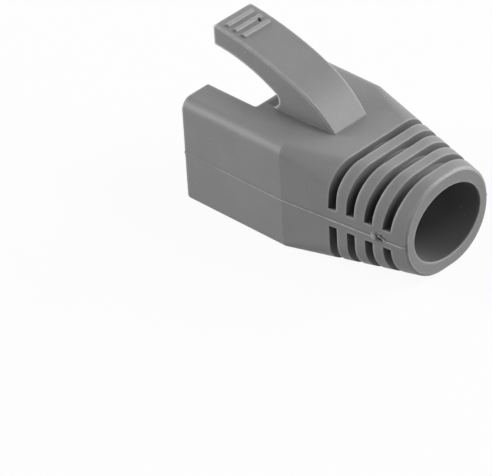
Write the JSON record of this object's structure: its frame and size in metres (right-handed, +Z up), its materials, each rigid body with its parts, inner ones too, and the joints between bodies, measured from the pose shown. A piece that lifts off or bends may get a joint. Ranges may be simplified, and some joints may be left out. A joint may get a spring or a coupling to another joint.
{
  "type": "strain relief boot",
  "caption": "One-piece plug boot: a box-shaped socket with a latch notch and arched latch lever, tapering to a cross-grooved round cable collar.",
  "frame": {"origin": "under the middle of the boot's length and width, on the plane of its flat underside", "axes": "+X along the cable bore, out of the cable end; +Y sideways; +Z up, towards the latch lever"},
  "size_m": [0.0264, 0.0142, 0.0175],
  "materials": {
    "moulded_plastic": "satin grey flexible PVC, fine grained"
  },
  "bodies": {
    "root": {"boot": "moulded_plastic"}
  },
  "joints": []
}
